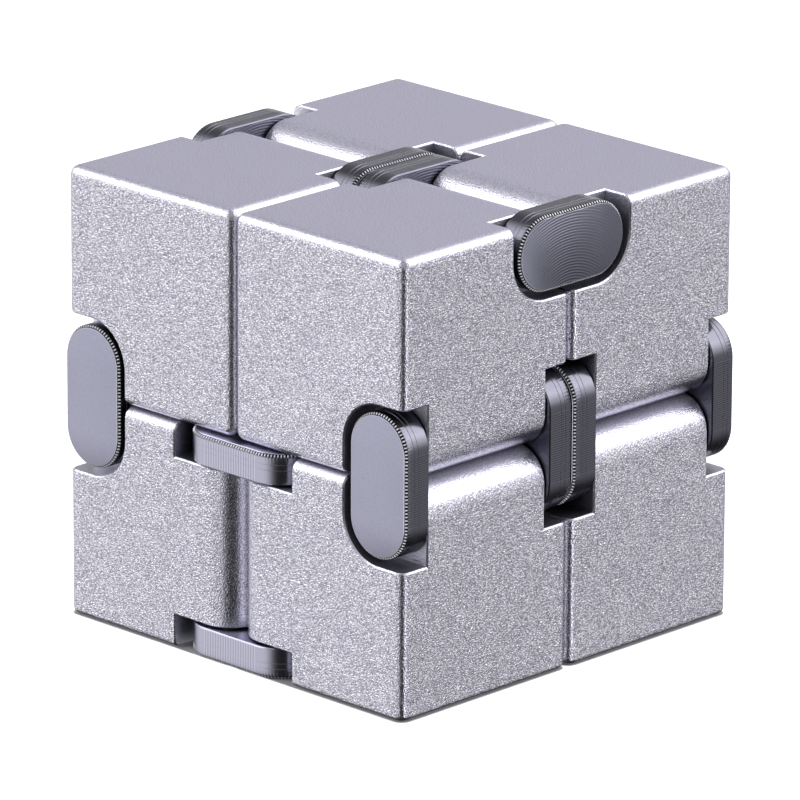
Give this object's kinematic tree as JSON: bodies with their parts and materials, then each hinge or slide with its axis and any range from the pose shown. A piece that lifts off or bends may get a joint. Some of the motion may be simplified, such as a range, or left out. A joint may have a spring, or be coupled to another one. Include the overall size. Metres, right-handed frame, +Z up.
{
  "type": "folding fidget cube",
  "caption": "Metal desk toy: a cube of smaller blocks joined in an endless loop by double-pivot hinges, so it folds open and turns inside out.",
  "frame": {"origin": "centre of the closed cube's square footprint, on the surface it stands on", "axes": "+Z up; +X to the right and +Y to the back, square to the cube's faces; the top face's hinges run along X"},
  "size_m": [0.0406, 0.0406, 0.0404],
  "materials": {
    "block": "bead-blasted, matte silver anodised",
    "link": "milled face with fine tool marks",
    "pin": "ground"
  },
  "bodies": {
    "front_base": {"block_lower_front_left": "block", "block_lower_front_right": "block", "link_front_outer": "link", "link_front_inner": "link", "pin_front_left": "pin", "pin_front_right": "pin"},
    "link_left_front": {"link_left_front_outer": "link", "link_left_front_inner": "link", "pin_left_front_lower": "pin", "pin_left_front_upper": "pin"},
    "block_upper_front_left": {"block_upper_front_left": "block"},
    "link_top_left": {"link_top_left_outer": "link", "link_top_left_inner": "link", "pin_top_left_front": "pin", "pin_top_left_back": "pin"},
    "block_upper_back_left": {"block_upper_back_left": "block"},
    "link_left_back": {"link_left_back_outer": "link", "link_left_back_inner": "link", "pin_left_back_lower": "pin", "pin_left_back_upper": "pin"},
    "back_base": {"block_lower_back_left": "block", "block_lower_back_right": "block", "link_back_outer": "link", "link_back_inner": "link", "pin_back_left": "pin", "pin_back_right": "pin"},
    "link_right_front": {"link_right_front_outer": "link", "link_right_front_inner": "link", "pin_right_front_lower": "pin", "pin_right_front_upper": "pin"},
    "block_upper_front_right": {"block_upper_front_right": "block"},
    "link_top_right": {"link_top_right_outer": "link", "link_top_right_inner": "link", "pin_top_right_front": "pin", "pin_top_right_back": "pin"},
    "block_upper_back_right": {"block_upper_back_right": "block"},
    "link_right_back": {"link_right_back_outer": "link", "link_right_back_inner": "link", "pin_right_back_lower": "pin", "pin_right_back_upper": "pin"}
  },
  "joints": [
    {"name": "left_front_lower", "type": "hinge", "parent": "front_base", "child": "link_left_front", "pos_m": [-0.01705, -0.01, 0.01695], "axis": [0, -1, 0], "range_deg": [0, 90]},
    {"name": "left_front_upper", "type": "hinge", "parent": "link_left_front", "child": "block_upper_front_left", "pos_m": [-0.01705, -0.01, 0.02305], "axis": [0, -1, 0], "range_deg": [0, 90]},
    {"name": "top_left_front", "type": "hinge", "parent": "block_upper_front_left", "child": "link_top_left", "pos_m": [-0.01, -0.00305, 0.03705], "axis": [1, 0, 0], "range_deg": [0, 90]},
    {"name": "top_left_back", "type": "hinge", "parent": "link_top_left", "child": "block_upper_back_left", "pos_m": [-0.01, 0.00305, 0.03705], "axis": [1, 0, 0], "range_deg": [0, 90]},
    {"name": "left_back_upper", "type": "hinge", "parent": "block_upper_back_left", "child": "link_left_back", "pos_m": [-0.01705, 0.01, 0.02305], "axis": [0, 1, 0], "range_deg": [0, 90]},
    {"name": "left_back_lower", "type": "hinge", "parent": "link_left_back", "child": "back_base", "pos_m": [-0.01705, 0.01, 0.01695], "axis": [0, 1, 0], "range_deg": [0, 90]},
    {"name": "right_front_lower", "type": "hinge", "parent": "front_base", "child": "link_right_front", "pos_m": [0.01705, -0.01, 0.01695], "axis": [0, 1, 0], "range_deg": [0, 90]},
    {"name": "right_front_upper", "type": "hinge", "parent": "link_right_front", "child": "block_upper_front_right", "pos_m": [0.01705, -0.01, 0.02305], "axis": [0, 1, 0], "range_deg": [0, 90]},
    {"name": "top_right_front", "type": "hinge", "parent": "block_upper_front_right", "child": "link_top_right", "pos_m": [0.01, -0.00305, 0.03705], "axis": [1, 0, 0], "range_deg": [0, 90]},
    {"name": "top_right_back", "type": "hinge", "parent": "link_top_right", "child": "block_upper_back_right", "pos_m": [0.01, 0.00305, 0.03705], "axis": [1, 0, 0], "range_deg": [0, 90]},
    {"name": "right_back_upper", "type": "hinge", "parent": "block_upper_back_right", "child": "link_right_back", "pos_m": [0.01705, 0.01, 0.02305], "axis": [0, -1, 0], "range_deg": [0, 90]}
  ],
  "couplings": [
    {"joint": "left_back_upper", "follows": "left_front_upper", "ratio": 1},
    {"joint": "left_back_lower", "follows": "left_front_lower", "ratio": 1},
    {"joint": "right_back_upper", "follows": "right_front_upper", "ratio": 1},
    {"joint": "top_right_front", "follows": "top_left_front", "ratio": 1},
    {"joint": "top_right_back", "follows": "top_left_back", "ratio": 1}
  ]
}
